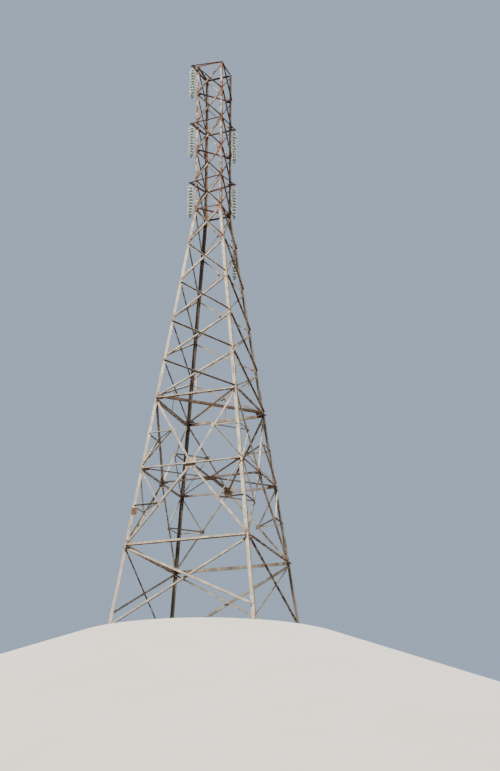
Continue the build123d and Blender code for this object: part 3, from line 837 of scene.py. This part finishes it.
FOOT_PLATE = 0.03
FOOT_INSET = 0.045
ANCHOR_HALF = 0.13
STUD_RADIUS = 0.0145
STUD_TOP = 0.085
ANCHOR_WASHER_RADIUS = 0.034
ANCHOR_WASHER_TOP = 0.0345
ANCHOR_NUT_RADIUS = 0.0265
ANCHOR_NUT_TOP = 0.0585


def anchor_bolts():
    """A stud with its nut and washer through each hole of the four base plates."""
    bm = bmesh.new()
    stud = bmesh.new()
    rod(stud, STUD_RADIUS, 0.0, STUD_TOP, 12)
    rod(stud, ANCHOR_WASHER_RADIUS, FOOT_PLATE, ANCHOR_WASHER_TOP, 16)
    rod(stud, ANCHOR_NUT_RADIUS, ANCHOR_WASHER_TOP, ANCHOR_NUT_TOP, 6)
    shape = mesh_of(stud)
    centre = -half(FOOT_PLATE) + FOOT_INSET
    for turned in QUARTERS:
        for dx in (-ANCHOR_HALF, ANCHOR_HALF):
            for dy in (-ANCHOR_HALF, ANCHOR_HALF):
                place = turned @ Matrix.Translation((centre + dx, centre + dy, 0))
                stamp(bm, shape, place @ Matrix.Rotation(random.uniform(0, 1), 4, "Z"))
    finished("anchor_bolts", bm, bolt_rust)


anchor_bolts()


# The plain rusty plate on the front left leg

PLATE_LEVEL = 4.74
PLATE_INSET = 0.11
PLATE_WIDTH = 0.22
PLATE_HEIGHT = 0.30
PLATE_THICKNESS = 0.003
PLATE_CORNER = 0.02
# The plate's middle stands this far off the leg's face
PLATE_STAND_OFF = 0.0025

# Bare sheet steel, rusted all over in brown clouds
sheet_rust = weathered_zinc("rusted_sheet_plate", "#8A6E57", "#6B513E", "#7A573F", "#543C2C",
                            joints=0.3, scatter=0.3, reach=9.0, levels=[PLATE_LEVEL])


def leg_plate():
    """A thin plate with round corners, flat on the leg."""
    bm = bmesh.new()
    size = Matrix.Diagonal((PLATE_WIDTH, PLATE_HEIGHT, PLATE_THICKNESS, 1))
    bmesh.ops.create_cube(bm, size=1, matrix=size)
    upright = [e for e in bm.edges if abs(e.verts[0].co.z - e.verts[1].co.z) > PLATE_THICKNESS / 2]
    bmesh.ops.bevel(bm, geom=upright, offset=PLATE_CORNER, segments=4, profile=0.5, affect="EDGES",
                    material=-1)
    point = on_face(PLATE_INSET - half(PLATE_LEVEL), PLATE_LEVEL)
    seat = Matrix.Translation(point + face_normal(PLATE_LEVEL) * PLATE_STAND_OFF)
    tip = Matrix.Rotation(math.atan2(1, BATTER), 4, "X")
    bmesh.ops.transform(bm, matrix=seat @ tip, verts=bm.verts)
    finished("rusty_plate", bm, sheet_rust)


leg_plate()


# Pale ground: a level top under the feet, falling away to a lower floor, as radius and height

GROUND = [(0.01, 0.0), (4.6, 0.0), (5.4, -0.12), (30.0, -9.2), (33.5, -10.0), (400.0, -10.0)]


def ground():
    """The outline of the ground, spun round the tower's axis."""
    bm = bmesh.new()
    start = [bm.verts.new((r, 0, z)) for r, z in GROUND]
    edges = [bm.edges.new((a, b)) for a, b in zip(start, start[1:])]
    bmesh.ops.spin(bm, geom=start + edges, cent=(0, 0, 0), axis=(0, 0, 1), angle=math.tau, steps=128,
                   use_merge=True)
    bmesh.ops.holes_fill(bm, edges=[e for e in bm.edges if e.is_boundary and e.verts[0].co.length < 1])
    bmesh.ops.recalc_face_normals(bm, faces=bm.faces)
    for face in bm.faces:
        face.smooth = True
    obj = bpy.data.objects.new("ground", mesh_of(bm))
    bpy.context.collection.objects.link(obj)
    obj.data.materials.append(pale_ground())
    # The floor shows, and throws no light back up: the underside stays dark as outdoors
    obj.visible_diffuse = False


ground()


# Camera at the photograph's viewing angle: from below, in front and to the right

CAMERA_PLACE = (17.63, -45.37, -8.467)
CAMERA_HEADING = (-0.3314, 0.9435)
CAMERA_PITCH = 0.3716
CAMERA_ROLL = -0.0016
LENS = 59.18
SENSOR_WIDTH = 36
CLIP_END = 1000

camera = bpy.data.objects.new("camera", bpy.data.cameras.new("camera"))
bpy.context.collection.objects.link(camera)
ahead = Vector((CAMERA_HEADING[0] * math.cos(CAMERA_PITCH), CAMERA_HEADING[1] * math.cos(CAMERA_PITCH),
                math.sin(CAMERA_PITCH)))
aim = ahead.to_track_quat("-Z", "Y").to_matrix() @ Matrix.Rotation(CAMERA_ROLL, 3, "Z")
camera.location = CAMERA_PLACE
camera.rotation_euler = aim.to_euler()
camera.data.lens = LENS
camera.data.sensor_width = SENSOR_WIDTH
camera.data.clip_end = CLIP_END
bpy.context.scene.camera = camera


# Light: a pale sky, a soft sun high in front, and a weak wide lamp from behind

def soft_sun(name, strength, spread, towards, colour):
    """A lamp of parallel light, with its spread in degrees."""
    lamp = bpy.data.objects.new(name, bpy.data.lights.new(name, "SUN"))
    lamp.data.energy = strength
    lamp.data.angle = math.radians(spread)
    lamp.data.color = linear(colour)[:3]
    lamp.rotation_euler = Vector(towards).to_track_quat("-Z", "Y").to_euler()
    bpy.context.collection.objects.link(lamp)


soft_sun("key", strength=8.0, spread=5, towards=(-0.03, 0.57, -0.82), colour="#FFF6E8")
# The fill keeps the back readable
soft_sun("fill", strength=2.2, spread=40, towards=(0.25, -0.85, -0.45), colour="#EDF2FF")

# The sky's light is soft from above and weak from below. What shows behind the tower is plain pale blue
SKY_ABOVE = 0.42
SKY_BELOW = 0.10
SKY_LIGHT = "#DCE2E8"
BACKDROP = "#A3B6CB"


def pale_sky():
    """The world: the backdrop for the camera, the sky's light for all else."""
    world = bpy.data.worlds.new("pale_sky")
    world.use_nodes = True
    tree = world.node_tree
    seen = add(tree, "ShaderNodeLightPath", {}, {}).outputs["Is Camera Ray"]
    aim = add(tree, "ShaderNodeTexCoord", {}, {}).outputs["Generated"]
    rise = add(tree, "ShaderNodeSeparateXYZ", {}, {0: aim}).outputs["Z"]
    given = add(tree, "ShaderNodeMapRange", {"interpolation_type": "SMOOTHSTEP"},
                {"Value": rise, "From Min": -0.15, "From Max": 0.25, "To Min": SKY_BELOW,
                 "To Max": SKY_ABOVE}).outputs[0]
    back = tree.nodes["Background"]
    level = add(tree, "ShaderNodeMix", {"data_type": "FLOAT"}, {0: seen, 2: given, 3: 1.0}).outputs[0]
    tree.links.new(level, back.inputs["Strength"])
    colour = blend_colour(tree, seen, linear(SKY_LIGHT), linear(BACKDROP))
    tree.links.new(colour, back.inputs["Color"])
    bpy.context.scene.world = world


pale_sky()
